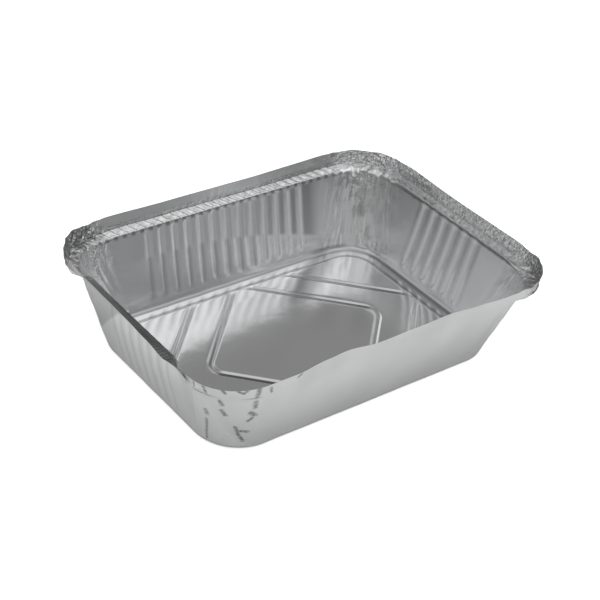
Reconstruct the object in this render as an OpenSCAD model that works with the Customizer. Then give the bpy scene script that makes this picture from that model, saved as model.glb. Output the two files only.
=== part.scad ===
// Pressed foil tray, one thin sheet of aluminium in a single piece.
// The sheet is drawn into a tapered box. Its floor is embossed with a diamond and four slanting
// grooves, its walls are fluted, the spare metal is gathered into pleats at the four corners, and
// the rim is a crimped flange with a lip that stands up round it.
// The origin is in the middle of the underside, X runs along the length and Z is up.

/* [Tray] */
// Length over the lip
tray_l = 220; // [180:1:320]
// Width over the lip
tray_w = 161; // [140:1:240]
// Height from the table to the top of the lip
tray_h = 54; // [40:1:80]
// Corner radius of the lip, seen from above
rim_corner_r = 28; // [22:0.5:36]
// Thickness of the foil
foil_t = 0.1; // [0.06:0.01:0.3]

/* [Rim] */
// Height of the lip above the flange
lip_h = 8; // [4:0.5:12]
// How far the lip leans outwards over its height
lip_lean = 1.8; // [0.5:0.1:4]
// Width of the level flange between the wall and the lip
flange_w = 5.4; // [3:0.1:9]
// Average distance from one crimp to the next
crimp_pitch = 5.6; // [4:0.1:9]
// How deep a crimp is pressed into the flange and the lip
crimp_depth = 0.6; // [0.2:0.05:1.2]

/* [Walls] */
// How far the wall leans outwards from its foot to the flange
wall_lean = 11.8; // [6:0.1:18]
// Corner radius of the wall's foot, seen from above
base_corner_r = 24; // [16:0.5:30]
// Radius of the bend between the floor and the wall
foot_bend_r = 2.5; // [1:0.1:4]

/* [Flutes] */
// Distance from one flute to the next
flute_pitch = 8.4; // [7:0.1:9]
// Width of a flute
flute_w = 5; // [3:0.1:6.5]
// How far a flute stands out from the wall
flute_depth = 0.9; // [0.3:0.05:1.5]
// Flutes in each long wall
flutes_long = 13; // [5:1:13]
// Flutes in each short wall
flutes_short = 6; // [2:1:6]
// Height of the flutes' lower ends above the table
flute_foot = 4.5; // [4.2:0.1:8]
// Distance from the flutes' upper ends to the flange
flute_head = 1.5; // [1:0.1:6]
// Length over which a flute runs out at each end
flute_end = 3; // [1.5:0.1:5]

/* [Corner gathers] */
// Pleats in each corner
gathers = 9; // [5:1:10]
// Depth of a pleat at the top of the wall
gather_top = 1.1; // [0.3:0.05:1.6]
// Depth of a pleat at the foot of the wall
gather_foot = 0.45; // [0.1:0.05:0.8]

/* [Floor] */
// Width of the channel round the floor, from the wall's foot to the raised field
channel_w = 7; // [5:0.1:10]
// Height of the raised field above the channel
field_rise = 1.6; // [0.6:0.1:2.5]
// Width of the slope at the edge of the field and along each groove
slope_w = 1.1; // [0.6:0.1:1.8]
// Width of a groove at its bottom
groove_w = 1.4; // [0.8:0.1:2.5]
// Distance from the middle of the floor to the diamond's points, along the length
diamond_reach = 58; // [46:1:62]
// Distance from the diamond's groove to the outer groove, along the length
band_reach = 27; // [20:1:29]
// Radius of the bend in the groove at the diamond's points
point_r = 9; // [5:0.5:14]
// Length over which a groove widens where it runs out into the channel
mouth_l = 6; // [3:0.5:9]

/* [Hidden] */

// Levels, and how far each level lies inside the lip's outline, all round
flange_z = tray_h - lip_h;
flange_in = lip_lean;
wall_in = lip_lean + flange_w;
foot_in = wall_in + wall_lean;
// Lean of the wall and of the lip from upright
wall_angle = atan(wall_lean / flange_z);
lip_angle = atan(lip_lean / lip_h);
// Length of the foot bend's tangents
bend_tangent = foot_bend_r * cos(wall_angle) / (1 + sin(wall_angle));
// Steps in a plain corner, stations across a flute, and sides of a round tool
plain_steps = 8;
flute_stations = [[-1, 0], [-0.5, 0.72], [0, 1], [0.5, 0.72], [1, 0]];
tool_sides = 16;
// A cut runs this much past the face that it opens
cut_past = 0.05;
quarter = 90;

// Corner radius of a level that lies z above the table, on the wall or above it
function corner_r(inset, z) = z >= flange_z
    ? rim_corner_r - inset
    : base_corner_r + (rim_corner_r - wall_in - base_corner_r) * z / flange_z;

function is_long(side) = side % 2 == 0;
function side_half(side, inset, r) = (is_long(side) ? tray_l : tray_w) / 2 - inset - r;
function side_out(side, inset) = (is_long(side) ? tray_w : tray_l) / 2 - inset;

// A station is [side, q, distance along the side or undef, depth of the wave there].
// q runs from -1 to 1 along a straight side and from 1 to 2 round the corner after it.
function along(s) = 3 * s[0] + s[1];

// A station's place in plan and the outward direction there, as [x, y, nx, ny]
function place(s, inset, r) =
    let (
        half = side_half(s[0], inset, r),
        out = side_out(s[0], inset),
        turn = max(s[1] - 1, 0) * quarter,
        u = s[1] > 1 ? half + r * sin(turn) : is_undef(s[2]) ? s[1] * half : s[2],
        v = out - r + r * cos(turn),
        facing = quarter * (s[0] - 1)
    )
    [
        v * cos(facing) - u * sin(facing),
        v * sin(facing) + u * cos(facing),
        cos(facing + turn),
        sin(facing + turn)
    ];

// Stations for the plain levels, the fluted levels and the crimped levels
plain_ring = [
    for (side = [0:3]) each concat(
        [for (q = [-1, -0.5, 0, 0.5]) [side, q, undef, 0]],
        [for (i = [0:plain_steps - 1]) [side, 1 + i / plain_steps, undef, 0]]
    )
];

function flute_count(side) = is_long(side) ? flutes_long : flutes_short;
mid_inset = wall_in + wall_lean / 2;
function flutes_q(side) =
    side_half(side, mid_inset, corner_r(mid_inset, flange_z / 2));
function flute_row(side) = [
    for (i = [0:flute_count(side) - 1], f = flute_stations)
        let (u = (i - (flute_count(side) - 1) / 2) * flute_pitch + f[0] * flute_w / 2)
        [side, u / flutes_q(side), u, f[1]]
];
// Every second station in a corner is the bottom of a pleat, and no two pleats are alike
function pleat(side, i) = i % 2 == 0 ? 0 : 0.7 + 0.3 * sin(137 * i + 61 * side);
flute_ring = [
    for (side = [0:3]) each concat(
        [[side, -1, undef, 0]],
        flute_row(side),
        [for (i = [0:2 * gathers - 1]) [side, 1 + i / (2 * gathers), undef, -pleat(side, i)]]
    )
];

// Crimps are uneven in pitch and depth, and deeper where the metal is gathered at the corners
function crimp(i, side, deeper) = i % 2 == 0 ? 0 : deeper * (0.65 + 0.35 * sin(151 * i + 83 * side));
function wander(i) = i == 0 ? 0 : 0.28 * sin(97 * i);
function crimps(length) = 2 * max(1, round(length / crimp_pitch));
crimp_half = [for (side = [0:3]) crimps(2 * side_half(side, flange_in, rim_corner_r - flange_in))];
crimp_turn = crimps(1.3 * rim_corner_r * PI / 2);
crimp_ring = [
    for (side = [0:3]) each concat(
        [
            for (i = [0:crimp_half[side] - 1])
                [side, -1 + 2 * (i + wander(i)) / crimp_half[side], undef, crimp(i, side, 0.7)]
        ],
        [
            for (i = [0:crimp_turn - 1])
                [side, 1 + (i + wander(i)) / crimp_turn, undef, crimp(i, side, 1.3)]
        ]
    )
];

// The section of the sheet, from the floor up to the top of the lip. Each level is
// [stations, inset, height, outward part of its normal, upward part, how far a wave moves it
// outwards, how far a wave moves it up, how far a pleat moves it outwards].
function wall_inset(z) = foot_in - z * tan(wall_angle);
function bend_level(a) = [
    plain_ring,
    foot_in + bend_tangent - foot_bend_r * sin(a),
    foot_bend_r * (1 - cos(a)),
    sin(a), -cos(a), 0, 0, 0
];
function wall_level(z, flute) = [
    flute_ring, wall_inset(z), z, cos(wall_angle), -sin(wall_angle), flute, 0,
    gather_foot + (gather_top - gather_foot) * z / flange_z
];
function rim_level(inset, z, a, out, up) = [crimp_ring, inset, z, cos(a), -sin(a), out, up, 0];
bend_turn = quarter - wall_angle;
flute_top = flange_z - flute_head;
section = [
    bend_level(0),
    bend_level(bend_turn / 2),
    bend_level(bend_turn),
    wall_level(flute_foot, 0),
    wall_level(flute_foot + flute_end, flute_depth),
    wall_level(flute_top - flute_end, flute_depth),
    wall_level(flute_top, 0),
    rim_level(wall_in, flange_z, (quarter + wall_angle) / 2, 0, -crimp_depth / 2),
    rim_level(flange_in, flange_z, (quarter + lip_angle) / 2, -crimp_depth, -crimp_depth),
    rim_level(lip_lean / 2, flange_z + lip_h / 2, lip_angle, -crimp_depth / 2, 0),
    rim_level(0, tray_h, 0, -crimp_depth / 4, 0)
];

// A wave below zero is a pleat in a corner, and any other is a flute or a crimp
function skin_point(s, lv, depth) =
    let (
        p = place(s, lv[1], corner_r(lv[1], lv[2])),
        out = s[3] < 0 ? s[3] * lv[7] : s[3] * lv[5],
        shift = out - depth * lv[3]
    )
    [p[0] + p[2] * shift, p[1] + p[3] * shift, lv[2] + max(s[3], 0) * lv[6] - depth * lv[4]];
function skin(depth) = [for (lv = section, s = lv[0]) skin_point(s, lv, depth)];

// First point of each level within one skin
function starts(i = 0, n = 0) =
    i == len(section) ? [n] : concat([n], starts(i + 1, n + len(section[i][0])));
level_start = starts();
skin_size = level_start[len(section)];

// Triangles between two rings whose stations differ, one station at a time
function ring_end(ring, i) = i < len(ring) ? along(ring[i]) : 1e9;
function step_first(a, b, i, j) =
    j >= len(b) || (i < len(a) && ring_end(a, i + 1) <= ring_end(b, j + 1));
function stitch(a, a0, b, b0) = [
    for (n = 0, i = 0; n < len(a) + len(b); i = i + (step_first(a, b, i, n - i) ? 1 : 0), n = n + 1)
        let (
            j = n - i,
            here = a0 + i % len(a),
            there = b0 + j % len(b)
        )
        step_first(a, b, i, j)
            ? [here, there, a0 + (i + 1) % len(a)]
            : [here, there, b0 + (j + 1) % len(b)]
];
function flipped(faces) = [for (f = faces) [f[0], f[2], f[1]]];
function strip(i, first) = stitch(
    section[i][0], first + level_start[i], section[i + 1][0], first + level_start[i + 1]
);
last_level = len(section) - 1;
rim_ring = section[last_level][0];
shell_faces = concat(
    [for (i = [0:last_level - 1]) each strip(i, 0)],
    [for (i = [0:last_level - 1]) each flipped(strip(i, skin_size))],
    stitch(rim_ring, level_start[last_level], rim_ring, skin_size + level_start[last_level]),
    [[for (i = [0:len(plain_ring) - 1]) i]],
    [[for (i = [len(plain_ring) - 1:-1:0]) skin_size + i]]
);

// The drawn box with a plain flat floor: walls, corner gathers, flange and lip as one closed skin
module drawn_box() {
    polyhedron(points = concat(skin(0), skin(foil_t)), faces = shell_faces, convexity = 10);
}

// The raised field, whose edge slopes up from the channel, between two heights
field_half = [tray_l / 2 - foot_in - channel_w, tray_w / 2 - foot_in - channel_w];
field_corner_r = max(base_corner_r - channel_w, slope_w + 1);
slope = slope_w / field_rise;
module field(low, high, grow) {
    corner = [field_half[0] - field_corner_r, field_half[1] - field_corner_r];
    hull()
        for (x = [-1, 1], y = [-1, 1])
            translate([x * corner[0], y * corner[1], low])
                cylinder(
                    r1 = field_corner_r + grow - slope * low,
                    r2 = field_corner_r + grow - slope * high,
                    h = high - low, $fn = 2 * tool_sides
                );
}

// A groove is what a blunt tool leaves as it runs from one point to the next
module groove(points, low, high, grow, wide = [0, 0]) {
    for (i = [0:len(points) - 2])
        hull()
            for (k = [0, 1])
                translate(concat(points[i + k], low))
                    cylinder(
                        r1 = groove_w / 2 + grow + wide[k] + slope * low,
                        r2 = groove_w / 2 + grow + wide[k] + slope * high,
                        h = high - low, $fn = tool_sides
                    );
}

// All slanting grooves run at 45 degrees, so x + y is the same all along one of them
outer_reach = diamond_reach + band_reach;
point_steps = 4;
diamond_bend = [
    for (i = [-point_steps:point_steps])
        let (a = 45 * i / point_steps)
        [diamond_reach - point_r * sqrt(2) + point_r * cos(a), point_r * sin(a)]
];
diamond_side = concat(
    [[diamond_reach - field_half[1], -field_half[1]]],
    diamond_bend,
    [[diamond_reach - field_half[1], field_half[1]]]
);
outer_side = [
    [outer_reach - field_half[1], field_half[1]],
    [field_half[0], outer_reach - field_half[0]]
];
// A groove widens where it runs out into the channel
mouth_step = mouth_l / sqrt(2);
function mouth(reach) = [
    [reach - field_half[1] + mouth_step, field_half[1] - mouth_step],
    [reach - field_half[1], field_half[1]]
];

module grooves(low, high, grow) {
    for (x = [0, 1])
        mirror([x, 0, 0]) {
            groove(diamond_side, low, high, grow);
            for (y = [0, 1])
                mirror([0, y, 0]) {
                    groove(outer_side, low, high, grow);
                    for (reach = [diamond_reach, outer_reach])
                        groove(mouth(reach), low, high, grow, [0, groove_w]);
                }
        }
}

// The field with its grooves, from below or above, as one side of the sheet
module embossing(low, past, field_grow, groove_grow) {
    difference() {
        field(low, field_rise, field_grow);
        grooves(low - past, field_rise + past, groove_grow);
    }
}

// The field is raised from the flat floor and hollow underneath, so that the sheet stays thin
module foil_tray() {
    color("silver")
        difference() {
            union() {
                drawn_box();
                translate([0, 0, foil_t])
                    embossing(-foil_t / 2, cut_past, foil_t / 2, 0);
            }
            embossing(-cut_past, cut_past, 0, foil_t / 2);
        }
}

foil_tray();
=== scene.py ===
# %% [markdown]
# # A pressed foil tray
# The real tray is one sheet of aluminium, a tenth of a millimetre thick, that a press draws into
# a box in one stroke. Everything seen on it comes from that stroke: flutes in the walls, an
# embossed floor, a crimped rim, and folds at the corners where there is too much metal.
# The measured model gives the sizes. This script makes the same sheet again with a fine mesh,
# because bare metal shows every small bend in what it mirrors.

# %% Load the measured model
import math

import bmesh
import bpy
from mathutils import Matrix, Vector, noise


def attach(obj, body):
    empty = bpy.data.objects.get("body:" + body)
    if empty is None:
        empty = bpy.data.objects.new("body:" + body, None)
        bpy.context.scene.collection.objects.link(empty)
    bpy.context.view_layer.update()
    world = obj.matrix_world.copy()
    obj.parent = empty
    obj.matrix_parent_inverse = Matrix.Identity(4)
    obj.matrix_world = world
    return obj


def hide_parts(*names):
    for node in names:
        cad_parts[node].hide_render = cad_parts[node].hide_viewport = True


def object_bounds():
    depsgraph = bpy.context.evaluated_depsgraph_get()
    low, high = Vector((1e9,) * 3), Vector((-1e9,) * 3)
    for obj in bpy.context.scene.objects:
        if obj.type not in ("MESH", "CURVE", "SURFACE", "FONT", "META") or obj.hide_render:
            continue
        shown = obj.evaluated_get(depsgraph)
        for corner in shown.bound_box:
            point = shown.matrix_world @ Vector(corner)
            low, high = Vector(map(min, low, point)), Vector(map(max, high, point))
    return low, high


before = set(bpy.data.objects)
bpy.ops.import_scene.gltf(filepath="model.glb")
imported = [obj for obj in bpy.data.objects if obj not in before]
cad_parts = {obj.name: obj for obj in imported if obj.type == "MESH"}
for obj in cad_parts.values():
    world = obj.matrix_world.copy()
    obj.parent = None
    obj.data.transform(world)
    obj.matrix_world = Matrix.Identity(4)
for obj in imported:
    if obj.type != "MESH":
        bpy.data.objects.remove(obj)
cad_low, cad_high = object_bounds()
MM = 0.001
TRAY_L = (cad_high.x - cad_low.x) / MM
TRAY_W = (cad_high.y - cad_low.y) / MM
TRAY_H = (cad_high.z - cad_low.z) / MM
print(f"measured tray: {TRAY_L:.1f} x {TRAY_W:.1f} x {TRAY_H:.1f} mm")

# %% [markdown]
# ## Camera
# The lens and the place come first, so that each later step can be judged against the same view.
# The camera looks down at 34 degrees over the corner between a short and a long side, and it is
# rolled a little. A long lens keeps the far rim nearly as large as the near one.

# %% Camera
CAM_TURN, CAM_HEIGHT, CAM_ROLL = (math.radians(a) for a in (-41.034, 34.161, 6.853))
CAM_AWAY, LENS_PX, FRAME_PX = 0.81423, 1520.27, 600
CAM_SIDE, CAM_UP = -0.0008, 0.02125

right = Vector((math.cos(CAM_TURN), math.sin(CAM_TURN), 0))
level_back = Vector((math.sin(CAM_TURN), -math.cos(CAM_TURN), 0))
back = math.cos(CAM_HEIGHT) * level_back + Vector((0, 0, math.sin(CAM_HEIGHT)))
up = back.cross(right)
rolled_right = math.cos(CAM_ROLL) * right + math.sin(CAM_ROLL) * up
rolled_up = -math.sin(CAM_ROLL) * right + math.cos(CAM_ROLL) * up
place = CAM_SIDE * right + CAM_UP * up + CAM_AWAY * back

camera_data = bpy.data.cameras.new("camera")
camera_data.sensor_width = 36
camera_data.lens = camera_data.sensor_width * LENS_PX / FRAME_PX
camera = bpy.data.objects.new("camera", camera_data)
bpy.context.scene.collection.objects.link(camera)
camera.matrix_world = Matrix((
    (rolled_right.x, rolled_up.x, back.x, place.x),
    (rolled_right.y, rolled_up.y, back.y, place.y),
    (rolled_right.z, rolled_up.z, back.z, place.z),
    (0, 0, 0, 1),
))
bpy.context.scene.camera = camera
bpy.context.scene.view_settings.view_transform = "Standard"
print(f"camera {place.length:.3f} m away, lens {camera_data.lens:.1f} mm")

# %% [markdown]
# ## A small language for materials
# A material is a net of nodes. Written out node by node, it is long and hard to read, so one
# class wraps a socket and lets Python's own signs add the Math nodes. `wave * 0.2 + 0.1` then
# reads as the sum that it is, and every other node comes from one `node` method.

# %% Shader maths
class Net:
    """The node tree of a material or of the world."""

    def __init__(self, owner):
        owner.use_nodes = True
        self.tree = owner.node_tree
        self.tree.nodes.clear()

    def node(self, kind, settings=None, out=0, **inputs):
        """Adds a node, sets its settings and inputs, and returns one of its outputs."""
        made = self.tree.nodes.new(kind)
        for name, value in (settings or {}).items():
            if name == "stops":
                ramp = made.color_ramp.elements
                while len(ramp) < len(value):
                    ramp.new(0.5)
                for element, (position, colour) in zip(ramp, value):
                    element.position = position
                    element.color = (*colour, 1)
            else:
                setattr(made, name, value)
        for name, value in inputs.items():
            key = int(name[1:]) if name[0] == "i" and name[1:].isdigit() else name.replace("_", " ")
            self.feed(made.inputs[key], value)
        return Value(self, made.outputs[out]) if made.outputs else None

    def feed(self, socket, value):
        if isinstance(value, Value):
            self.tree.links.new(value.socket, socket)
        else:
            socket.default_value = value


class Value:
    """A number that changes over a surface. Signs and methods add Math nodes."""

    def __init__(self, net, socket):
        self.net, self.socket = net, socket

    def maths(self, operation, *others, clamp=False):
        inputs = {f"i{k}": v for k, v in enumerate((self, *others))}
        return self.net.node("ShaderNodeMath", {"operation": operation, "use_clamp": clamp}, **inputs)

    def __add__(self, other):
        return self.maths("ADD", other)

    def __radd__(self, other):
        return self + other

    def __mul__(self, other):
        return self.maths("MULTIPLY", other)

    def __rmul__(self, other):
        return self * other

    def __sub__(self, other):
        return self.maths("SUBTRACT", other)

    def __rsub__(self, other):
        return (self * -1) + other

    def __truediv__(self, other):
        return self.maths("DIVIDE", other)

    def power(self, other):
        return self.maths("POWER", other)

    def over(self, low, high):
        """0 below low, 1 above high, and a smooth rise between them."""
        return self.net.node(
            "ShaderNodeMapRange", {"interpolation_type": "SMOOTHSTEP"},
            Value=self, From_Min=low, From_Max=high,
        )


print("shader maths ready")

# %% [markdown]
# ## Room and light
# A mirror has no colour of its own, so the room is half of the look. The world here is pale
# overhead and darker toward the horizon. A soft lamp brightens one part of it, and a few large
# dark places stand for the things of a real room. Floor and inner walls show these as their
# darker tones, after one, two or three bounces. The camera itself sees plain white.

# %% Room
world = bpy.data.worlds.new("room")
bpy.context.scene.world = world
room = Net(world)
direction = room.node("ShaderNodeTexCoord", out="Generated")
split = room.node("ShaderNodeSeparateXYZ", Vector=direction)
height = Value(room, split.socket.node.outputs["Z"])


def toward(turn, elevation):
    """1 straight toward a place in the room, given in degrees, and less away from it."""
    a, e = math.radians(turn), math.radians(elevation)
    aim = (math.cos(a) * math.cos(e), math.sin(a) * math.cos(e), math.sin(e))
    dot = room.node("ShaderNodeVectorMath", {"operation": "DOT_PRODUCT"}, i0=direction, i1=aim)
    return Value(room, dot.socket.node.outputs["Value"])


def dimmer(turn, elevation, wide, soft, amount):
    """1 away from a place and amount less than 1 there. wide and soft are angles in degrees."""
    edge, middle = math.cos(math.radians(wide + soft)), math.cos(math.radians(wide))
    return 1 - amount * toward(turn, elevation).over(edge, middle)


# Turn, height, half width and soft edge of each dark place, in degrees, and its share of darkness
DARK_PLACES = [
    (46, 37, 8, 18, 0.60), (75, 56, 6, 16, 0.35), (108, 53, 6, 18, 0.55),
    (-20, 20, 8, 20, 0.25), (37, 8, 9, 9, 0.45),
]
brightness = 0.153 + 0.4386 * height.over(0.14, 0.60) + 0.306 * toward(-54, 64).over(0.90, 0.985)
for dark_place in DARK_PLACES:
    brightness = brightness * dimmer(*dark_place)
lit = room.node("ShaderNodeBackground", Color=(1, 1, 1, 1), Strength=brightness)
white = room.node("ShaderNodeBackground", Color=(1, 1, 1, 1), Strength=1.0)
seen = room.node("ShaderNodeLightPath", out="Is Camera Ray")
both = room.node("ShaderNodeMixShader", i0=seen, i1=lit, i2=white)
room.node("ShaderNodeOutputWorld", Surface=both)
print(f"room with {len(DARK_PLACES)} dark places")

# %% [markdown]
# ## Table
# The tray's outer walls lean outwards over the table, so the table is what they mirror, and the
# table's brightness is theirs. A broad lamp overhead lights it and leaves a soft shadow. The lamp
# could put a hard white spot in the foil, so the foil doesn't see it. For the camera alone the
# table also glows a little, which makes it as white as the background.

# %% Overhead lamp
lamp_data = bpy.data.lights.new("overhead", "AREA")
lamp_data.shape, lamp_data.size, lamp_data.energy = "DISK", 1.0, 3.0
overhead = bpy.data.objects.new("overhead", lamp_data)
overhead.location = (-0.12, -0.12, 1.0)
overhead.visible_glossy = False
bpy.context.scene.collection.objects.link(overhead)
print(f"lamp {overhead.location.z:.1f} m up")

# %% Table
TABLE_GREY, TABLE_GLOW, TABLE_GAP = 0.92, 0.70, 0.1 * MM
bpy.ops.object.select_all(action="DESELECT")
bpy.ops.mesh.primitive_plane_add(size=8, location=(0, 0, -TABLE_GAP))
table = bpy.context.object
table.name = "table"
pale = bpy.data.materials.new("pale_table")
net = Net(pale)
matt = net.node("ShaderNodeBsdfDiffuse", Color=(TABLE_GREY, TABLE_GREY, TABLE_GREY, 1))
glow = net.node("ShaderNodeEmission", Color=(1, 1, 1, 1), Strength=TABLE_GLOW)
bright = net.node("ShaderNodeAddShader", i0=matt, i1=glow)
seen = net.node("ShaderNodeLightPath", out="Is Camera Ray")
both = net.node("ShaderNodeMixShader", i0=seen, i1=matt, i2=bright)
net.node("ShaderNodeOutputMaterial", Surface=both)
table.data.materials.append(pale)
print("table made")

# %% [markdown]
# ## The outline and the section
# The tray is a section carried round an outline. The outline is a rectangle with round corners.
# The section runs from the top of the lip down over the flange, down the wall, round the foot
# and into the floor. Each point of the sheet is then named by two things: a station on the
# outline and a level on the section.

# %% Sizes of the section and the floor
# Four values in a row are for the near long, far short, far long and near short side
LIP_H, LIP_LEAN, FLANGE_W = 8.0, 1.8, 5.4
RIM_R, BASE_R = 28.0, 24.0
WALL_LEAN, FOOT_R = 11.8, 2.5
FLUTE_PITCH, FLUTE_W = 8.4, 5.4
FLUTE_DEPTH = (0.10, 1.0, 0.45, 0.34)
FLUTES = {True: 13, False: 6}
FLUTE_FOOT, FLUTE_HEAD, FLUTE_END = 4.5, 1.5, 3.0
CHANNEL_W, FIELD_RISE, SLOPE_W, GROOVE_W = 7.0, 0.7, 2.15, 0.9
DIAMOND, OUTER, POINT_R = 58.0, 85.0, 9.0
SHEET_T = 0.1

FLANGE_Z = TRAY_H - LIP_H
WALL_IN = LIP_LEAN + FLANGE_W
FOOT_IN = WALL_IN + WALL_LEAN
FIELD_IN = FOOT_IN + CHANNEL_W
WALL_TAN = WALL_LEAN / FLANGE_Z
WALL_ANGLE = math.atan(WALL_TAN)
FIELD_X, FIELD_Y = TRAY_L / 2 - FIELD_IN, TRAY_W / 2 - FIELD_IN
FIELD_R = BASE_R - CHANNEL_W
print(f"flange at {FLANGE_Z:.1f} mm, raised field {2 * FIELD_X:.0f} x {2 * FIELD_Y:.0f} mm")


# %% Stations round the outline
def corner_r(inset, z):
    if z >= FLANGE_Z - 0.01:
        return RIM_R - inset
    if inset > FOOT_IN:
        return BASE_R - (inset - FOOT_IN)
    return BASE_R + (RIM_R - WALL_IN - BASE_R) * z / FLANGE_Z


def straight_half(side, inset, r):
    return (TRAY_L if side % 2 == 0 else TRAY_W) / 2 - inset - r


def side_out(side, inset):
    return (TRAY_W if side % 2 == 0 else TRAY_L) / 2 - inset


# The middle of a side keeps its stations upright, so that they follow the flutes. KEEP is half
# its length on a long side and on a short one. The rest is how many stations lie in the middle
# of each side, at each of its ends, and round the corner after it
KEEP = {True: 54.6, False: 25.2}
MIDDLE, ENDS, TURNS = (32, 48, 104, 44), (14, 22, 22, 22), (58, 56, 58, 72)
stations = []
for side in range(4):
    long_side = side % 2 == 0
    top, keep = straight_half(side, 0, RIM_R), KEEP[long_side]
    ends, middle, turns = ENDS[side], MIDDLE[side], TURNS[side]
    marks = [-top + (top - keep) * i / ends for i in range(ends)]
    marks += [-keep + 2 * keep * i / middle for i in range(middle)]
    marks += [keep + (top - keep) * i / ends for i in range(ends)]
    stations += [(side, u, 0.0) for u in marks]
    stations += [(side, top, 90 * i / turns) for i in range(turns)]


def on_outline(station, inset, r):
    """Where a station lies in plan on a level, how far along its side, and the way outwards."""
    side, u_top, turn = station
    half, out = straight_half(side, inset, r), side_out(side, inset)
    top, keep = straight_half(side, 0, RIM_R), KEEP[side % 2 == 0]
    a = math.radians(turn)
    u = u_top
    if abs(u_top) > keep:
        u = math.copysign(keep + (abs(u_top) - keep) * (half - keep) / (top - keep), u_top)
    along, outward = u + r * math.sin(a), out - r + r * math.cos(a)
    facing = math.radians(90 * (side - 1))
    x = outward * math.cos(facing) - along * math.sin(facing)
    y = outward * math.sin(facing) + along * math.cos(facing)
    return x, y, u, math.cos(facing + a), math.sin(facing + a)


# Distance of each station along the rim, in mm
rim_run = [0.0]
for a, b in zip(stations, stations[1:] + stations[:1]):
    p, q = on_outline(a, 2, RIM_R - 2), on_outline(b, 2, RIM_R - 2)
    rim_run.append(rim_run[-1] + math.hypot(q[0] - p[0], q[1] - p[1]))
RIM_LENGTH = rim_run.pop()
print(f"{len(stations)} stations, {RIM_LENGTH:.0f} mm round the rim")

# %% Levels of the section
levels = []


def level(part, inset, z, share=0.0):
    """share runs from 0 to 1 across the part."""
    levels.append((part, inset, z, share))


for i in range(8):
    t = i / 8
    level("lip", LIP_LEAN * t, TRAY_H - LIP_H * t * 0.97, t)
level("flange", LIP_LEAN + 0.15, FLANGE_Z + 0.12, 0.0)
for t in (0.08, 0.2, 0.34, 0.5, 0.66, 0.82, 0.94):
    level("flange", LIP_LEAN + FLANGE_W * t, FLANGE_Z - 0.5 * t * t, t)
level("flange", WALL_IN + 0.08, FLANGE_Z - 0.85, 1.0)
WALL_Z = (44.2, 43.2, 42.2, 41.2, 40, 38, 36)
WALL_Z += tuple(33.5 - 2.5 * i for i in range(9))
WALL_Z += (11.2, 9.4, 8, 7, 6, 5, 4, 3.1)
for z in WALL_Z:
    level("wall", FOOT_IN - z * WALL_TAN, z, 1 - z / FLANGE_Z)
bend_tangent = FOOT_R * math.cos(WALL_ANGLE) / (1 + math.sin(WALL_ANGLE))
for i in (4, 3, 2, 1, 0):
    a = (math.pi / 2 - WALL_ANGLE) * i / 5
    level("foot", FOOT_IN + bend_tangent - FOOT_R * math.sin(a), FOOT_R * (1 - math.cos(a)), 1 - i / 5)
for extra in (-5.0, -4.2, -3.5, -2.8, -2.0, -1.0, -0.2, 0.15, 0.5, 0.85, 1.2, 1.55, 1.9, 2.6):
    level("floor", FIELD_IN + extra, 0.0, 0.0)
print(f"{len(levels)} levels from the lip to the raised field")

# %% [markdown]
# ## What the press leaves in the sheet
# A flute is a round rib, pressed outwards. A crimp is a sharp little fold across the flange,
# where the sheet had to get shorter. Both are moves of a point along the sheet's own normal, so
# each is one small function of where the point lies. Real crimps are never quite alike, and a
# list of uneven steps, made once from a fixed seed, keeps them so.


# %% Flutes
def flute(side, u, z):
    count = FLUTES[side % 2 == 0]
    i = min(max(round(u / FLUTE_PITCH + (count - 1) / 2), 0), count - 1)
    away = abs(u - (i - (count - 1) / 2) * FLUTE_PITCH) / (FLUTE_W / 2)
    if away >= 1:
        return 0.0
    low = min(max((z - FLUTE_FOOT) / FLUTE_END, 0), 1)
    high = min(max((FLANGE_Z - FLUTE_HEAD - z) / FLUTE_END, 0), 1)
    ends = math.sin(math.pi / 2 * min(low, high))
    return FLUTE_DEPTH[side] * ends * (0.6 * (1 - away) + 0.2 * (1 + math.cos(math.pi * away)))


print(f"flutes of the far long wall {flute(2, 0, FLANGE_Z / 2):.2f} mm deep")


# %% Crimps and corner folds
def chance(n, k=0.0):
    """A fixed number between 0 and 1 for each n."""
    v = math.sin(n * 127.1 + k * 311.7 + 5.3) * 43758.5453
    return v - math.floor(v)


def uneven_steps(length, pitch, seed):
    count = max(3, round(length / pitch))
    cuts = [(i + 0.55 * (chance(i, seed) - 0.5)) * length / count for i in range(count)]
    return cuts + [cuts[0] + length]


CRIMP_PITCH = 5.6
crimp_cuts = uneven_steps(RIM_LENGTH, CRIMP_PITCH, 1)


def fold(cuts, s, skew=0.5, seed=0.0):
    """A row of sharp folds: 0 at each cut and up to 1 between two cuts."""
    s = s % RIM_LENGTH
    if s < cuts[0]:
        s += RIM_LENGTH
    low, high = 0, len(cuts) - 1
    while high - low > 1:
        mid = (low + high) // 2
        low, high = (mid, high) if cuts[mid] <= s else (low, mid)
    f = (s - cuts[low]) / (cuts[high] - cuts[low])
    rise = f / skew if f < skew else (1 - f) / (1 - skew)
    return rise * (0.45 + 0.55 * chance(low, seed + 7))


# Length along a side over which the corner's folds begin
SOFT_START = 14.0


def cornerness(station):
    """0 along a side and 1 round a corner, with a soft start on the side."""
    side, u, turn = station
    if turn > 0:
        return 1.0
    reach = straight_half(side, 0, RIM_R)
    return min(max((abs(u) - reach + SOFT_START) / SOFT_START, 0), 1) ** 2


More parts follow.
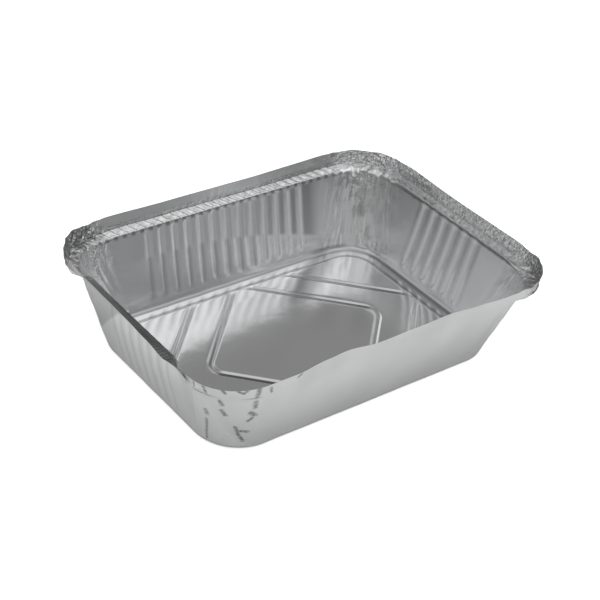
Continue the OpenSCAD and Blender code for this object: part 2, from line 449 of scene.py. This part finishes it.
def crush(s, t, step_s, step_t, seed):
    """Flat little facets with sharp edges between them, from -1 to 1, as in crushed foil."""
    i, j = math.floor(s / step_s), math.floor(t / step_t)
    f, g = s / step_s - i, t / step_t - j
    n = round(RIM_LENGTH / step_s)

    def corner_height(a, b):
        return 2 * chance((i + a) % n + 0.37 * (j + b), seed + 0.61 * (j + b)) - 1

    h00, h11 = corner_height(0, 0), corner_height(1, 1)
    if f > g:
        h10 = corner_height(1, 0)
        return h00 + (h10 - h00) * f + (h11 - h10) * g
    h01 = corner_height(0, 1)
    return h00 + (h11 - h01) * f + (h01 - h00) * g


print(f"{len(crimp_cuts) - 1} crimps")


# %% The floor's embossing
def smooth(t):
    t = min(max(t, 0.0), 1.0)
    return t * t * (3 - 2 * t)


def inside_round(a, b, r):
    """How far a point is inside two edges that meet in a corner of radius r."""
    p, q = max(r - a, 0), max(r - b, 0)
    return r - math.hypot(p, q) if p > 0 and q > 0 else min(a, b)


def field_depth(x, y):
    """How far a point lies inside the raised field's edge."""
    dx, dy = FIELD_X - abs(x), FIELD_Y - abs(y)
    return inside_round(dx, dy, FIELD_R) if dx < FIELD_R and dy < FIELD_R else min(dx, dy)


MOUTH_R = 3.0


def floor_height(x, y):
    """How high the embossed floor lies at a place, with its grooves' mouths rounded by MOUTH_R."""
    ax, ay = abs(x), abs(y)
    inner = (ax + ay - DIAMOND) / math.sqrt(2)
    centre = DIAMOND - POINT_R * math.sqrt(2)
    if ay < ax - centre:
        inner = math.hypot(ax - centre, ay) - POINT_R
    outer = (ax + ay - OUTER) / math.sqrt(2)
    groove = min(abs(inner), abs(outer)) - GROOVE_W / 2
    inside = inside_round(groove, field_depth(x, y), MOUTH_R)
    return FIELD_RISE * smooth(inside / SLOPE_W)


print(f"field {floor_height(0, 0):.2f} mm up, groove {floor_height(29, 29):.2f} mm up")

# %% [markdown]
# ## Dents
# Foil this thin takes a dent from every hand. The near short side has its lip pushed down, the
# near long side has its lip pushed in, and all the walls wave a little. These are gentle pushes
# over some tens of millimetres, and what they do to the reflections is far more visible than
# what they do to the outline. Along the near long side and round the near corner the hand went
# further: lip, ledge and wall are squeezed into one smooth slope, given by one formula.

# %% Pushes on the rim
# For each side: places along it, with how far the lip is pushed in and down there
RIM_PUSHES = {
    0: [
        (-82, 1.5, 0.0), (-66, 1.6, 0.0), (-45, 4.0, 0.3), (-34, 4.6, 0.0), (-15, 2.6, 0.6),
        (9, 2.7, 0.0), (30, 3.3, 0.0), (49, 1.4, 0.0), (66, 0.0, 0.2), (82, 0.0, 0.3),
    ],
    1: [(-52, 0.0, 0.0), (0, 0.6, 0.4), (52, 0.0, 0.0)],
    2: [(-82, 0.0, 0.0), (-20, 0.8, 0.3), (30, 0.2, 0.5), (82, 0.0, 0.0)],
    3: [
        (-52, 0.0, 0.3), (-13, 0.0, 1.1), (2, 0.0, 1.5), (18, 0.0, 2.6), (33, 0.0, 4.2),
        (38, 0.0, 3.2), (52, 0.3, 1.7),
    ],
}


def rim_push(side, u):
    marks = RIM_PUSHES[side]
    if u <= marks[0][0]:
        return marks[0][1:]
    for (u0, in0, down0), (u1, in1, down1) in zip(marks, marks[1:]):
        if u <= u1:
            t = smooth((u - u0) / (u1 - u0))
            return in0 + (in1 - in0) * t, down0 + (down1 - down0) * t
    return marks[-1][1:]


def pushes(side, u, turn):
    """The pushes at a station. Round a corner they fade into those of the next side."""
    push_in, push_down = rim_push(side, u)
    if turn > 0:
        nxt = (side + 1) % 4
        next_in, next_down = rim_push(nxt, -straight_half(nxt, 0, RIM_R))
        t = smooth(turn / 90)
        push_in += (next_in - push_in) * t
        push_down += (next_down - push_down) * t
    return push_in, push_down


def wander(x, y, z, size, seed=0.0):
    """A slow, even wandering between about -1 and 1."""
    return 2 * noise.noise(Vector((x / size + seed, y / size - seed, z / size + 0.37 * seed)))


print(f"near short lip pushed down by up to {max(mark[2] for mark in RIM_PUSHES[3]):.1f} mm")


# %% Crushed corners and squeezed sides
# How crushed the wall, and the rim above it, is at the corner after each side
WALL_CRUSH = (0.8, 1.0, 0.9, 0.25)
RIM_CRUSH = (1.0, 0.8, 1.0, 0.05)


def window(u, a, b, soft):
    return smooth((u - a) / soft) * smooth((b - u) / soft)


def crushed(station, amounts):
    """How strongly the sheet is crushed at a station."""
    side, u, turn = station
    if turn > 0:
        return amounts[side]
    return cornerness(station) * amounts[side if u > 0 else (side - 1) % 4]


def pressed(station):
    """How far the lip and the ledge are pressed against the wall: on the two near sides."""
    side, u, turn = station
    if side == 0 and turn == 0:
        return smooth((86 - u) / 18)
    if side == 3:
        return 1.0 if turn > 0 else smooth((u + 52) / 30)
    return 0.0


def squeezed(station, u):
    """1 where lip, ledge and wall are all one slope: the near long side and the near corner."""
    side, _, turn = station
    if side == 3 and turn == 0:
        return smooth((u - 34) / 18)
    return pressed(station)


# From this height up the squeezed slope leaves the wall's own line
SLOPE_FROM = 8.0


def slope_inset(z):
    """How far in the sheet lies where lip, ledge and wall are squeezed into one slope."""
    ramp = (math.hypot(z - SLOPE_FROM, 6) + z - SLOPE_FROM) / 2
    return FOOT_IN + 0.04 - WALL_TAN * z - 0.112 * ramp * smooth((z - 3) / 10)


def round_more(turn, inset, r, z):
    """Keeps the squeezed slope straight round the corner, where foot and rim have unlike radii."""
    if turn == 0 or z <= SLOPE_FROM:
        return 0.0
    a, low = math.radians(turn), FOOT_IN - SLOPE_FROM * WALL_TAN
    low += corner_r(low, SLOPE_FROM)
    aim = low + (RIM_R - low) * (z - SLOPE_FROM) / (TRAY_H - SLOPE_FROM)
    return (aim - inset - r) * (math.cos(a) + math.sin(a) - 1)


print(f"squeezed slope: {slope_inset(0):.1f} mm in at the table, {slope_inset(TRAY_H):.1f} mm at the rim")


# %% One point of the sheet
def lip_move(run, share, rim_crush, flat, flush, push_in, small):
    """How far a point of the lip goes out and up."""
    up_share = 1 - share
    big, little = crush(run, LIP_H * share, 4.1, 3.4, 21), crush(run, LIP_H * share, 2.2, 2.0, 22)
    out = -push_in * (0.5 + 0.5 * up_share) - 0.14 * small * share * (1 - flat) - 2.4 * flat * share
    out -= 0.2 * up_share + rim_crush * (0.75 + 0.75 * big + 0.35 * little)
    rise = -rim_crush * (1 - flush) * up_share * (0.5 + 0.5 * crush(run, 0, 3.1, 3, 23))
    return out, rise


def flange_move(run, share, rim_crush, flat, flush, push_in, small, lifted):
    """How far a point of the flange goes out and up, with its crimps."""
    across = math.sin(math.pi * min(max(share, 0.06), 0.94))
    big = crush(run, FLANGE_W * share, 3.8, 2.7, 24)
    little = crush(run, FLANGE_W * share, 2.2, 1.8, 25)
    out = (0.8 * flat - 0.5 * flat * push_in - 1.3 * lifted) * share
    out -= (2.4 * flat + 0.5 * push_in + 0.5 * rim_crush * (1 + big)) * (1 - share)
    out -= 0.35 * (small - 0.5) * max(share - 0.5, 0) * 2 * (1 - flush)
    rise = (3.6 - 1.3 * share) * lifted + flush * (0.10 - 1.35 * share + 0.5 * share ** 2)
    crimped = (1 - rim_crush) * small * across - 0.16 * little * across
    rise -= (crimped + rim_crush * (0.5 + 0.9 * big + 0.4 * little)) * (1 - flush)
    return out, rise


def wall_move(run, z, wall_crush, flat, flush, push_in, small, lifted):
    """How far a point of the wall goes out and up, without its flutes and its belly."""
    pleat = crush(run, z + 40, 2.1, 19, 26) + 0.6 * crush(run, z + 40, 4.4, 9, 27)
    crumb = crush(run, z + 40, 1.7, 2.6, 28)
    depth = 0.35 + 0.65 * z / FLANGE_Z
    near_top = max(0, 1 - (FLANGE_Z - z) / 4.0)
    out = (0.8 - 0.5 * push_in) * flat * smooth((z - 8) / 38) - 1.3 * lifted * smooth((z - 30) / 16)
    out -= 0.35 * (small - 0.5) * near_top * (1 - wall_crush) * (1 - flush)
    out -= wall_crush * depth * (0.6 + 0.65 * pleat + 0.35 * crumb)
    return out, 2.3 * lifted * smooth((z - 28) / 16)


BELLY = (1.1, 0.6, 0.6, 0.9)


def sheet_point(index, lv):
    """Where a station's point lies on a level of the section, with all the dents, in metres."""
    station, run = stations[index], rim_run[index]
    side, _, turn = station
    part, inset, z, share = lv
    r = corner_r(inset, z)
    x, y, u, nx, ny = on_outline(station, inset, r)
    half = straight_half(side, inset, r)
    wall_crush, rim_crush = crushed(station, WALL_CRUSH), crushed(station, RIM_CRUSH)
    push_in, push_down = pushes(side, u, turn)
    flat, flush = pressed(station), squeezed(station, u)
    lifted = window(u, -58, 48, 18) if side == 3 and turn == 0 else 0.0
    small = fold(crimp_cuts, run + 2.4 * (share if part == "flange" else part == "wall"), 0.3, 1)
    bow = 1 - (u / half) ** 2 if turn == 0 else 0.0
    out = rise = 0.0
    if part == "lip":
        foot = FLANGE_Z + 0.24 + 3.6 * lifted
        z = foot + (TRAY_H - push_down - foot) * (1 - share)
        out, rise = lip_move(run, share, rim_crush, flat, flush, push_in, small)
        out += 0.2 * wander(x, y, 0, 30, 3) * (1 - share) * (1 - cornerness(station))
    elif part == "flange":
        out, rise = flange_move(run, share, rim_crush, flat, flush, push_in, small, lifted)
    elif part == "wall":
        out, rise = wall_move(run, z, wall_crush, flat, flush, push_in, small, lifted)
        if turn == 0:
            out += flute(side, u, z) + BELLY[side] * bow * math.sin(math.pi * z / FLANGE_Z)
        out += 0.12 * wander(x, y, z, 45, 11) * min(1, z / 20) * min(1, (FLANGE_Z + 4 - z) / 12)
    elif part == "floor":
        ridge = 0.3 * math.exp(-((inset - FIELD_IN + CHANNEL_W / 2) / 0.8) ** 2)
        rise = floor_height(x, y) + ridge
    if flush and part in ("lip", "flange", "wall"):
        up = z + rise
        slope = inset - slope_inset(up) - push_in * smooth((up - SLOPE_FROM) / 38)
        slope += 0.12 * wander(x, y, up, 45, 11) * min(1, up / 20) - round_more(turn, inset, r, up)
        if side == 0:
            slope += 1.2 * bow * math.sin(math.pi * min(up / TRAY_H, 1))
        out += (slope - out) * flush
    if part == "foot" or part == "wall" and z < 8:
        out += 0.08 * wander(x, y, z, 12, 4)
    return (x + nx * out) * MM, (y + ny * out) * MM, (z + rise) * MM


print(f"top of the near long side {sheet_point(0, levels[0])[2] / MM:.1f} mm up")

# %% [markdown]
# ## Walls and rim
# A circle of one point per station is bent to the lip's outline, as a wire hoop would be. It is
# then extruded once for each level, and each new ring of points is put on its level. That gives
# even rows of four-sided faces that follow the sheet, which is what a clean reflection needs.


# %% Extrude the section ring by ring
def put_selected_on(obj, lv):
    mesh = bmesh.from_edit_mesh(obj.data)
    tag = mesh.verts.layers.int["station"]
    for v in mesh.verts:
        if v.select:
            v.co = sheet_point(v[tag], lv)
    bmesh.update_edit_mesh(obj.data)


bpy.ops.object.select_all(action="DESELECT")
hoop = TRAY_W / 2 * MM
bpy.ops.mesh.primitive_circle_add(vertices=len(stations), radius=hoop, fill_type="NOTHING")
tray = bpy.context.object
tray.name = "foil_sheet"
bpy.ops.object.mode_set(mode="EDIT")
mesh = bmesh.from_edit_mesh(tray.data)
tag = mesh.verts.layers.int.new("station")
mesh.verts.ensure_lookup_table()
for i, v in enumerate(mesh.verts):
    v[tag] = i
bmesh.update_edit_mesh(tray.data)
bpy.ops.mesh.select_all(action="SELECT")
put_selected_on(tray, levels[0])
for lv in levels[1:]:
    bpy.ops.mesh.extrude_edges_move()
    put_selected_on(tray, lv)
bpy.ops.object.mode_set(mode="OBJECT")
print(f"walls and rim: {len(tray.data.polygons)} faces")

# %% [markdown]
# ## Floor
# All the slanting grooves run at 45 degrees. A grid that is turned by 45 degrees therefore has
# its rows along them, and bisect adds close rows just where a groove's sides bend. Planes along
# the field's edge then trim the grid, and `fill` closes the narrow gap to the last ring.

# %% A turned grid, trimmed to the field
bpy.ops.object.select_all(action="DESELECT")
GRID, ROWS = 216.0, 90
turned = (0, 0, math.pi / 4)
bpy.ops.mesh.primitive_grid_add(x_subdivisions=ROWS, y_subdivisions=ROWS, size=GRID * MM, rotation=turned)
floor = bpy.context.object
floor.name = "floor_grid"
bpy.ops.object.transform_apply(location=True, rotation=True, scale=True)
bpy.ops.object.mode_set(mode="EDIT")


def cut(point, normal, drop=False):
    bpy.ops.mesh.select_all(action="SELECT")
    place = [c * MM for c in point]
    bpy.ops.mesh.bisect(plane_co=place, plane_no=normal, clear_outer=drop, threshold=1e-7)


GAP = 3.6
inner_x, inner_y, inner_r = FIELD_X - GAP, FIELD_Y - GAP, FIELD_R - GAP
for sx, sy in ((1, 0), (-1, 0), (0, 1), (0, -1)):
    cut((sx * inner_x, sy * inner_y, 0), (sx, sy, 0), drop=True)
QUARTERS = ((1, 1), (1, -1), (-1, 1), (-1, -1))
for sx, sy in QUARTERS:
    for k in range(1, 8):
        a = math.radians(90 * k / 8)
        reach_x = inner_x - inner_r + inner_r * math.cos(a)
        reach_y = inner_y - inner_r + inner_r * math.sin(a)
        cut((sx * reach_x, sy * reach_y, 0), (sx * math.cos(a), sy * math.sin(a), 0), drop=True)
print(f"trimmed grid: {len(bmesh.from_edit_mesh(floor.data).faces)} faces")

# %% Close rows at the grooves
half_groove = GROOVE_W / 2
rows_beside = [half_groove * 0.9]
rows_beside += [half_groove + SLOPE_W * k for k in (0.17, 0.34, 0.5, 0.66, 0.83, 1.02)]
for reach in (DIAMOND, OUTER):
    for off in [0.0] + [sign * row for row in rows_beside for sign in (1, -1)]:
        d = (reach / math.sqrt(2) + off) / math.sqrt(2)
        for sx, sy in QUARTERS:
            cut((sx * d, sy * d, 0), (sx, sy, 0))
print(f"floor grid: {len(bmesh.from_edit_mesh(floor.data).faces)} faces")

# %% Finer faces where the diamond's points bend
mesh = bmesh.from_edit_mesh(floor.data)
point_centre = DIAMOND - POINT_R * math.sqrt(2)
for face in mesh.faces:
    centre = face.calc_center_median() / MM
    away = math.hypot(abs(centre.x) - point_centre, centre.y)
    face.select = away < POINT_R + 3 and abs(centre.x) > 44
bmesh.update_edit_mesh(floor.data)
mesh.select_flush_mode()
bpy.ops.mesh.subdivide(number_cuts=1)
bpy.ops.object.mode_set(mode="OBJECT")
print(f"floor grid with its finer points: {len(floor.data.polygons)} faces")

# %% Join the floor to the walls and press it
# What is pressed as floor: lower than this, and no further than this past the field's edge
FLOOR_TOP, FLOOR_PAST = 5.0, 4.5
bpy.ops.object.select_all(action="DESELECT")
floor.select_set(True)
tray.select_set(True)
bpy.context.view_layer.objects.active = tray
bpy.ops.object.join()
bpy.ops.object.mode_set(mode="EDIT")
bpy.ops.mesh.select_mode(type="EDGE")
bpy.ops.mesh.select_all(action="DESELECT")
mesh = bmesh.from_edit_mesh(tray.data)
for edge in mesh.edges:
    if edge.is_boundary and all(abs(v.co.z) < FLOOR_TOP * MM for v in edge.verts):
        edge.select = True
bmesh.update_edit_mesh(tray.data)
bpy.ops.mesh.fill(use_beauty=True)
mesh = bmesh.from_edit_mesh(tray.data)
# The sheet's middle stays half a thickness above the table
for v in mesh.verts:
    x, y, z = v.co / MM
    depth = field_depth(x, y)
    if z < FLOOR_TOP and depth > -FLOOR_PAST:
        v.co.z = floor_height(x, y) * MM
    if depth > -FLOOR_PAST:
        v.co.z += 0.15 * MM * wander(x, y, 0, 42, 6) * smooth(depth / 20)
    v.co.z = max(v.co.z, 0.5 * SHEET_T * MM)
bmesh.update_edit_mesh(tray.data)
print(f"open edges: {sum(e.is_boundary for e in mesh.edges)}, rim stations {len(stations)}")

# %% Give the sheet its thickness
bpy.ops.mesh.select_all(action="SELECT")
bpy.ops.mesh.remove_doubles(threshold=0.00001)
bpy.ops.mesh.normals_make_consistent(inside=False)
bpy.ops.object.mode_set(mode="OBJECT")
thick = tray.modifiers.new("sheet", "SOLIDIFY")
thick.thickness = SHEET_T * MM
thick.offset = 0
bpy.ops.object.modifier_apply(modifier=thick.name)
for v in tray.data.vertices:
    v.co.x = min(max(v.co.x, cad_low.x), cad_high.x)
    v.co.y = min(max(v.co.y, cad_low.y), cad_high.y)
    v.co.z = min(max(v.co.z, cad_low.z), cad_high.z)
bpy.ops.object.shade_smooth_by_angle(angle=math.radians(50))
triangles = sum(len(p.vertices) - 2 for p in tray.data.polygons)
print(f"sheet: {triangles} triangles")

# %% [markdown]
# ## Bare aluminium
# Rolled foil is a mirror with a faint grain: the rolls leave long fine lines, and the press
# leaves a soft unevenness. Metallic is 1 and the base colour is the metal's own pale grey, with
# random lighter patches, and made lighter on the far walls as painted light. Roughness wanders a
# little, and several noises feed one bump. The rest is marks of painted shade and painted
# reflection. Each is a mask, 1 where the mark lies and 0 elsewhere, and all count in millimetres,
# as the sheet itself does.

# %% Grain and roughness
foil = bpy.data.materials.new("bare_foil")
net = Net(foil)
where = net.node("ShaderNodeTexCoord", out="Object")
rolled = net.node("ShaderNodeMapping", Vector=where, Scale=(60, 1500, 1500))
grain = net.node("ShaderNodeTexNoise", Vector=rolled, Scale=1.0, Detail=3.0)
slow = net.node("ShaderNodeTexNoise", Vector=where, Scale=90.0, Detail=2.0)
fine = net.node("ShaderNodeTexNoise", Vector=where, Scale=700.0, Detail=3.0)
patch = net.node("ShaderNodeTexNoise", Vector=where, Scale=25.0, Detail=3.0)
axes = net.node("ShaderNodeSeparateXYZ", Vector=where).socket.node.outputs
x, y, z = (Value(net, axes[k]) / MM for k in "XYZ")
far_x, far_y, left, near = x.maths("ABSOLUTE"), y.maths("ABSOLUTE"), x * -1, y * -1


def between(value, rise, fall):
    """1 between two soft edges. Each edge is given by where it starts and where it ends."""
    return value.over(*rise) * (1 - value.over(*fall))


on_far_long, on_far_short = y.over(60.5, 63), x.over(90, 92.5)
on_wall = between(z, (4, 7), (42.5, 43.5))
near_walls = near.over(56, 60).maths("MAXIMUM", left.over(86, 90)) * z.over(1, 3)
roughness = 0.09 + 0.07 * patch + 0.05 * grain + 0.10 * on_far_short * on_wall + 0.20 * near_walls
print("grain ready")

# %% [markdown]
# ## Crushed foil and creases
# In the corners and along the far rim the foil is crushed into hundreds of flat facets, smaller
# than the mesh. Voronoi cells measured with a square distance look like that in the bump. Cells
# drawn out upwards give the pleats below. Near the rim the crushed corners are also darkened in
# the colour, as painted shade. The few sharp creases and tears round the near corner are lines on
# the sheet, dented in the bump and darkened in the colour as painted shade. Each runs between two
# places, given as a length along the rim from where that corner starts, and a height.

# %% Crushed foil
on_rim = z.over(45.5, 47.5)
low_rim = on_rim * (1 - z.over(47.5, 49.5))
short_rim, long_rim = on_rim * x.over(94, 99), low_rim * y.over(68, 74)
left_band = on_rim * left.over(98, 102) * (1 - z.over(49, 51)) * y.over(-48, -40)
near_corner, far_corner = left.over(30, 60) * near.over(20, 50), (x + y).over(80, 120)
in_corner = (far_x + 8 * left.over(0, 10)).over(78, 96) * far_y.over(48, 66)
in_corner = in_corner * z.over(12, 50) * (1 - 0.95 * near_corner)
square = {"distance": "CHEBYCHEV"}
turned_cells = net.node("ShaderNodeMapping", Vector=where, Rotation=(0.6, 0.4, 0.9))
facets = net.node("ShaderNodeTexVoronoi", square, Vector=turned_cells, Scale=520.0)
long_cells = net.node("ShaderNodeMapping", Vector=where, Rotation=(0, 0, 0.8), Scale=(1, 1, 0.24))
pleats = net.node("ShaderNodeTexVoronoi", square, Vector=long_cells, Scale=330.0)
rim_facets = facets * (1.1 * in_corner * on_rim + 0.9 * short_rim + 0.25 * long_rim + 0.5 * left_band)
wall_pleats = (pleats + (0.2 + 0.5 * left.over(0, 10)) * facets) * in_corner * (1 - on_rim)
crushed_height = rim_facets + wall_pleats * (1 - 0.25 * far_corner)
# Painted shade: the crushed corners are darkened in the colour near the rim, cell by cell
painted_corner_shade = in_corner * (1 - 0.85 * far_corner) * z.over(40, 47) * facets.over(0.05, 0.45)
print("crushed foil ready")

# %% Creases round the near corner
# Two places and the line's half width, all in mm
CREASES = [
    ((4, 51.5), (3, 47.5), 0.9), ((9.5, 51.5), (10, 47.5), 1.4), ((19, 53), (20, 50.5), 1.5),
    ((26, 53), (29, 51), 1.4), ((29, 51), (30.5, 53.5), 1.4), ((36, 53.5), (36.5, 51), 1.9),
    ((36.5, 51), (37, 47.5), 2.0), ((36.5, 42), (36, 37), 2.0), ((33.5, 33), (36, 30), 2.2),
    ((34, 28), (32, 26), 1.7), ((17, 43), (18.5, 39.5), 1.7), ((18, 34.5), (20, 30.5), 1.9),
    ((9, 31), (10, 27.5), 1.9), ((9.5, 23), (9, 4.5), 1.2), ((25, 21), (26.5, 14.5), 1.5),
    ((26.5, 14.5), (29, 7.5), 1.5), ((28, 17), (32, 16), 1.7), ((-3.5, 50), (-4, 45), 1.7),
    ((60, 53), (59, 51.5), 1.4), ((43, 51.5), (45, 47), 1.2),
]
corner_start = rim_run[stations.index((3, straight_half(3, 0, RIM_R), 0.0))]


def on_sheet(along, z):
    """The sheet's point so far along from the near corner's start and so high up, in metres."""
    run = (corner_start + along) % RIM_LENGTH
    i = max(k for k, reached in enumerate(rim_run) if reached <= run)
    step = (rim_run + [RIM_LENGTH])[i + 1] - rim_run[i]
    lv = ("wall", FOOT_IN - z * WALL_TAN, z, 0.0)
    here, after = (Vector(sheet_point(k % len(stations), lv)) for k in (i, i + 1))
    return here.lerp(after, (run - rim_run[i]) / step)


def vector_maths(operation, **inputs):
    return net.node("ShaderNodeVectorMath", {"operation": operation}, **inputs)


def crease(start, end, width):
    """1 on a straight line between two places, and 0 beside it."""
    a, b = on_sheet(*start), on_sheet(*end)
    rel = vector_maths("SUBTRACT", i0=where, i1=a)
    dot = vector_maths("DOT_PRODUCT", i0=rel, i1=(b - a) / (b - a).length_squared)
    share = Value(net, dot.socket.node.outputs["Value"]).maths("ADD", 0.0, clamp=True)
    dx, dy, dz = b - a
    nearest = net.node("ShaderNodeCombineXYZ", X=share * dx, Y=share * dy, Z=share * dz)
    away = vector_maths("DISTANCE", i0=rel, i1=nearest)
    return 1 - (Value(net, away.socket.node.outputs["Value"]) / MM).over(0.2 * width, width)


# Painted shade: where a crease lies the colour is darkened, as well as the bump dented
creases = crease(*CREASES[0])
for places in CREASES[1:]:
    creases = creases.maths("MAXIMUM", crease(*places))
creases = creases * (0.35 + 0.65 * fine.over(0.38, 0.54))
print(f"{len(CREASES)} creases")

# %% [markdown]
# ## Painted shade
# Where the relief turns from the light or mirrors dark parts of the room, the foil looks darker:
# on the lower side of each groove, along the field's edge, between the crimps, and in bars between
# the flutes of the far walls. These are painted shade and painted reflection in the colour. The
# low relief alone would show some of this, but not as clearly as on the real tray. Each group of
# marks adds to one value, by which the base colour gets darker.

# %% Marks on the floor
def stroke(value, at, width):
    """1 along a line where value is at, and 0 beside it."""
    return 1 - (value - at).maths("ABSOLUTE").over(0.35 * width, width)


across, along = (x + y) * math.sqrt(0.5), (x - y) * math.sqrt(0.5)
groove_at, outer_at = DIAMOND / math.sqrt(2), OUTER / math.sqrt(2)
in_field = 1 - far_y.over(50, 54)
inner_ends = (1 - along.maths("ABSOLUTE").over(33, 38)) * in_field
side_ends = (1 - across.maths("ABSOLUTE").over(33, 38)) * in_field
outer_ends = (1 - far_x.over(79, 83)) * in_field
past_x = (far_x - (FIELD_X - FIELD_R)).maths("MAXIMUM", 0.0)
past_y = (far_y - (FIELD_Y - FIELD_R)).maths("MAXIMUM", 0.0)
past_field = (past_x * past_x + past_y * past_y).maths("SQRT") - FIELD_R
# Painted shade: dark lines along the field's edge and on the lower side of each groove
painted_floor_shade = 0.48 * stroke(past_field, 0.3, 1.5).maths("MAXIMUM", stroke(past_field, 5.9, 1.7))
for line, at, width, amount, ends in (
    (across, -groove_at - 0.7, 2.1, 0.75, inner_ends), (across, groove_at - 0.6, 2.1, 0.60, inner_ends),
    (across, outer_at - 0.6, 2.1, 0.60, outer_ends), (along, 0.9 - groove_at, 1.9, 0.50, side_ends),
    (along, 0.9 - outer_at, 1.9, 0.50, outer_ends),
):
    painted_floor_shade = painted_floor_shade.maths("MAXIMUM", amount * stroke(line, at, width) * ends)

# Painted reflection: soft dark streaks and ripples, as waves too slow to see as a shape would mirror them
STREAK_TURN, RIPPLE_TURN, RIPPLE_PITCH = math.radians(34), math.radians(51), 19.0
veer = math.cos(STREAK_TURN) * (y - 35.5) - math.sin(STREAK_TURN) * (x - 31.9)
streak = (1 - veer.maths("ABSOLUTE").over(3, 12)) * (x + y).over(20, 62)
ripple_run = math.cos(RIPPLE_TURN) * (x - 26.5) - math.sin(RIPPLE_TURN) * (y - 21.5)
ripple = 0.5 - 0.5 * (ripple_run * (2 * math.pi / RIPPLE_PITCH)).maths("COSINE")
painted_floor_shade = painted_floor_shade.maths("MAXIMUM", 0.45 * streak + 0.12 * ripple * (x + y).over(10, 50))
painted_shade = painted_floor_shade * (1 - z.over(2, 4))
print(f"floor marks along grooves {groove_at:.1f} and {outer_at:.1f} mm from the middle")

# %% Teeth of the far long rim
# The crimps slant there, with painted dark shade in the gaps between them and in hollows at the top of
# the wall
TOOTH_PITCH = 5.4
from_tooth = (((x + 0.55 * y) / TOOTH_PITCH).maths("FRACT") - 0.5).maths("ABSOLUTE")
gaps = from_tooth.over(0.36, 0.46) * between(z, (44.5, 45.5), (46.2, 47.2))
hollows = (1 - from_tooth.over(0.12, 0.34)) * between(z, (42.5, 43.8), (44.8, 45.6))
painted_shade = painted_shade + (1 - far_x.over(74, 86)) * y.over(70, 72.5) * (0.45 * gaps + 0.50 * hollows)
print(f"rim teeth every {TOOTH_PITCH:.1f} mm")

# %% Bars between the flutes
# High on the far long wall the gaps between the flutes are dark, as painted shade and painted
# reflection. Low down the flutes are. The line between the two bends down toward both ends. ridge is
# 0 on a flute and 0.5 halfway
long_ridge = ((x / FLUTE_PITCH + 0.5).maths("FRACT") - 0.5).maths("ABSOLUTE")
short_ridge = ((y / FLUTE_PITCH).maths("FRACT") - 0.5).maths("ABSOLUTE")
above = (z - 28 + 0.00145 * (x + 45) * (x + 45)).over(-1, 1.5)
high_gaps = long_ridge.over(0.10, 0.44).maths("MAXIMUM", far_x.over(53, 55))
high_gaps = high_gaps * above * (0.06 + 0.40 * x.over(-25, 45))
low_ribs = 0.26 * (1 - long_ridge.over(0.05, 0.36)) * (1 - above) * (1 - x.over(12, 35))
low_ribs = low_ribs * (1 - far_x.over(52, 54))
painted_shade = painted_shade + on_far_long * on_wall * (1 - far_x.over(56, 66)) * (high_gaps + low_ribs)
by_short_flutes = on_wall * (1 - far_y.over(24.5, 27.5))
# Painted shade between the flutes of the far short wall too
far_gaps = short_ridge.over(0.10, 0.42) * (0.10 + 0.18 * z.over(10, 40))
painted_shade = painted_shade + on_far_short * by_short_flutes * far_gaps
print(f"wall bars every {FLUTE_PITCH:.1f} mm")

# %% Marks on the rim
# Painted shade: a dark line under the far short ledge, dark stretches of the far flanges, and the
# dark crushed flange of the near short side with its ribs
RIB_PITCH = 2.1
ledge_line = x.over(99, 100) * between(z, (43, 44), (45, 45.6)) * (1 - far_y.over(46, 54))
painted_shade = painted_shade + 0.50 * ledge_line
painted_shade = painted_shade + 0.38 * short_rim * between(y, (14, 26), (46, 54)) * (1 - z.over(50, 51.5))
painted_shade = painted_shade + 0.22 * low_rim * y.over(68, 72) * between(x, (10, 60), (80, 95))
near_ribs = (y / RIB_PITCH).maths("FRACT").over(0.2, 0.9)
near_band = left.over(101, 102.2) * z.over(47, 47.8) * between(y, (-56, -49), (58, 66))
painted_shade = painted_shade + near_band * (0.45 + 0.30 * (1 - y.over(0, 50))) * (1 - 0.25 * near_ribs)
print(f"rim ribs every {RIB_PITCH:.1f} mm")

# %% Marks on the near walls
# The near short side has a bent corner piece, painted darker as shade, and faint painted dark
# lines between its flutes. The near long side is painted a little darker outside as shade, most of
# all close to the table
on_near_short = left.over(90, 94) * (1 - z.over(43, 46))
painted_shade = painted_shade + 0.32 * on_near_short * (y + z).over(57.5, 60.5) * (1 - y.over(56, 62))
painted_shade = painted_shade + 0.12 * on_near_short * by_short_flutes * short_ridge.over(0.20, 0.45)
painted_shade = painted_shade + near.over(58, 62) * z.over(1, 3) * (0.04 + 0.08 * (1 - z.over(10, 46)))
print(f"marks made, {len(net.tree.nodes)} nodes")

# %% Foil material
PALE, PALER, PAINTED_SHADE_GREY = (0.895, 0.90, 0.905, 1), (0.95, 0.955, 0.96, 1), (0.05, 0.05, 0.055, 1)
colours = {"data_type": "RGBA"}
# Painted light: the far walls get the lighter colour; elsewhere random patches vary the tone
far_walls = on_far_long.maths("MAXIMUM", on_far_short) * on_wall
tone_patches_and_painted_light = patch.over(0.3, 0.7).maths("MAXIMUM", far_walls)
bare = net.node("ShaderNodeMix", colours, out=2, i0=tone_patches_and_painted_light, i6=PALE, i7=PALER)
# Painted shade: creases, crushed corners and all the marks above darken the base colour
shade = 1 - 0.60 * creases - 0.55 * painted_corner_shade - painted_shade
colour = net.node("ShaderNodeMix", colours, out=2, i0=shade, i6=PAINTED_SHADE_GREY, i7=bare)
unevenness = 0.012 * grain + 0.10 * slow + 0.006 * fine + crushed_height - 0.25 * creases
bump = net.node("ShaderNodeBump", Strength=1.0, Distance=MM, Height=unevenness)
surface = net.node(
    "ShaderNodeBsdfPrincipled", Base_Color=colour, Metallic=1.0, Roughness=roughness, Normal=bump,
)
net.node("ShaderNodeOutputMaterial", Surface=surface)
tray.data.materials.clear()
tray.data.materials.append(foil)
print("foil material made")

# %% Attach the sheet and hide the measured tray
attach(tray, "root")
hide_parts("foil_tray")
print("cad box   ", [round(c / MM, 2) for c in (*cad_low, *cad_high)])
